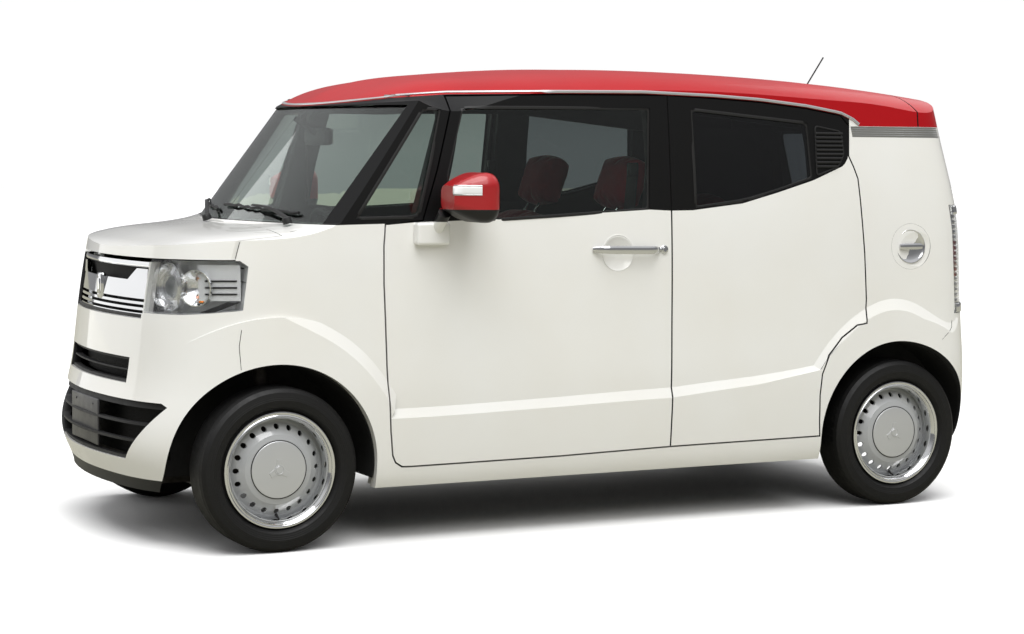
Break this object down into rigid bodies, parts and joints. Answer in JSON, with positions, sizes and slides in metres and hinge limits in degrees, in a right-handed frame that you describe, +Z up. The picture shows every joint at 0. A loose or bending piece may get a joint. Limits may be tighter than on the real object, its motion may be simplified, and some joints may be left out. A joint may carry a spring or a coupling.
{
  "type": "kei car",
  "caption": "Small tall five-door hatchback car with two-tone paint, opening doors, tailgate, bonnet and fuel lid, steered front wheels and turning road wheels.",
  "frame": {"origin": "on the ground under the middle of the overall box", "axes": "+X forward along the car, +Y to its left, +Z up"},
  "size_m": [3.3948, 1.871, 1.744],
  "materials": {
    "cream_paint": "gloss",
    "red_paint": "gloss",
    "clear_glass": "polished",
    "dark_glass": "polished",
    "lamp_glass": "polished",
    "chrome": "polished",
    "grooved_metal": "satin",
    "black_trim": "matte",
    "tyre": "matte",
    "wheel_steel": "satin",
    "underside": "matte",
    "steel_parts": "matte",
    "exhaust_steel": "satin",
    "engine_block": "matte",
    "seat_cloth": "matte",
    "cabin_plastic": "matte"
  },
  "bodies": {
    "car": {"body_shell": "cream_paint", "underbody": "underside", "roof_panel": "red_paint", "front_wings": "cream_paint", "front_bumper": "cream_paint", "front_grille": "chrome", "headlamps": "lamp_glass", "rear_bumper": "cream_paint", "tail_lamps": "lamp_glass", "fixed_glazing": "clear_glass", "trim_black": "black_trim", "dashboard": "cabin_plastic", "front_seats": "seat_cloth", "rear_seat": "seat_cloth", "power_unit": "engine_block", "front_suspension": "steel_parts", "rear_axle": "steel_parts", "exhaust": "exhaust_steel", "fuel_tank": "underside", "side_mouldings": "grooved_metal"},
    "front_door_left": {"door_front_left": "cream_paint", "glass_front_left": "dark_glass", "mirror_left": "red_paint"},
    "front_door_right": {"door_front_right": "cream_paint", "glass_front_right": "dark_glass", "mirror_right": "red_paint"},
    "rear_door_left": {"door_rear_left": "cream_paint", "glass_rear_left": "dark_glass"},
    "rear_door_right": {"door_rear_right": "cream_paint", "glass_rear_right": "dark_glass"},
    "tailgate": {"tailgate": "cream_paint", "tailgate_spoiler": "red_paint", "tailgate_glass": "dark_glass"},
    "bonnet": {"bonnet": "cream_paint"},
    "fuel_lid": {"fuel_lid": "cream_paint"},
    "knuckle_left": {"knuckle_left": "steel_parts"},
    "knuckle_right": {"knuckle_right": "steel_parts"},
    "wheel_front_left": {"tyre_front_left": "tyre", "rim_front_left": "wheel_steel"},
    "wheel_front_right": {"tyre_front_right": "tyre", "rim_front_right": "wheel_steel"},
    "wheel_rear_left": {"tyre_rear_left": "tyre", "rim_rear_left": "wheel_steel"},
    "wheel_rear_right": {"tyre_rear_right": "tyre", "rim_rear_right": "wheel_steel"}
  },
  "joints": [
    {"name": "front_door_left_hinge", "type": "hinge", "parent": "car", "child": "front_door_left", "pos_m": [0.8445, 0.736, 0.7], "axis": [0, 0, -1], "range_deg": [0, 65]},
    {"name": "rear_door_left_hinge", "type": "hinge", "parent": "car", "child": "rear_door_left", "pos_m": [-0.2955, 0.736, 0.7], "axis": [0, 0, -1], "range_deg": [0, 65]},
    {"name": "front_door_right_hinge", "type": "hinge", "parent": "car", "child": "front_door_right", "pos_m": [0.8445, -0.736, 0.7], "axis": [0, 0, 1], "range_deg": [0, 65]},
    {"name": "rear_door_right_hinge", "type": "hinge", "parent": "car", "child": "rear_door_right", "pos_m": [-0.2955, -0.736, 0.7], "axis": [0, 0, 1], "range_deg": [0, 65]},
    {"name": "tailgate_hinge", "type": "hinge", "parent": "car", "child": "tailgate", "pos_m": [-1.403, 0, 1.606], "axis": [0, 1, 0], "range_deg": [0, 78]},
    {"name": "bonnet_hinge", "type": "hinge", "parent": "car", "child": "bonnet", "pos_m": [1.184, 0, 1.094], "axis": [0, -1, 0], "range_deg": [0, 55]},
    {"name": "fuel_lid_hinge", "type": "hinge", "parent": "car", "child": "fuel_lid", "pos_m": [-1.2705, 0.713, 0.995], "axis": [0, 0, -1], "range_deg": [0, 85]},
    {"name": "steer_left", "type": "hinge", "parent": "car", "child": "knuckle_left", "pos_m": [1.2155, 0.6, 0.196], "axis": [0, -0.2058, 0.9786], "range_deg": [-35, 35]},
    {"name": "steer_right", "type": "hinge", "parent": "car", "child": "knuckle_right", "pos_m": [1.2155, -0.6, 0.196], "axis": [0, 0.2058, 0.9786], "range_deg": [-35, 35]},
    {"name": "spin_front_left", "type": "hinge", "parent": "knuckle_left", "child": "wheel_front_left", "pos_m": [1.2155, 0.6525, 0.2785], "axis": [0, 1, 0], "continuous": true},
    {"name": "spin_front_right", "type": "hinge", "parent": "knuckle_right", "child": "wheel_front_right", "pos_m": [1.2155, -0.6525, 0.2785], "axis": [0, 1, 0], "continuous": true},
    {"name": "spin_rear_left", "type": "hinge", "parent": "car", "child": "wheel_rear_left", "pos_m": [-1.3045, 0.6525, 0.2785], "axis": [0, 1, 0], "continuous": true},
    {"name": "spin_rear_right", "type": "hinge", "parent": "car", "child": "wheel_rear_right", "pos_m": [-1.3045, -0.6525, 0.2785], "axis": [0, 1, 0], "continuous": true}
  ],
  "couplings": [
    {"joint": "steer_right", "follows": "steer_left", "ratio": 1}
  ]
}
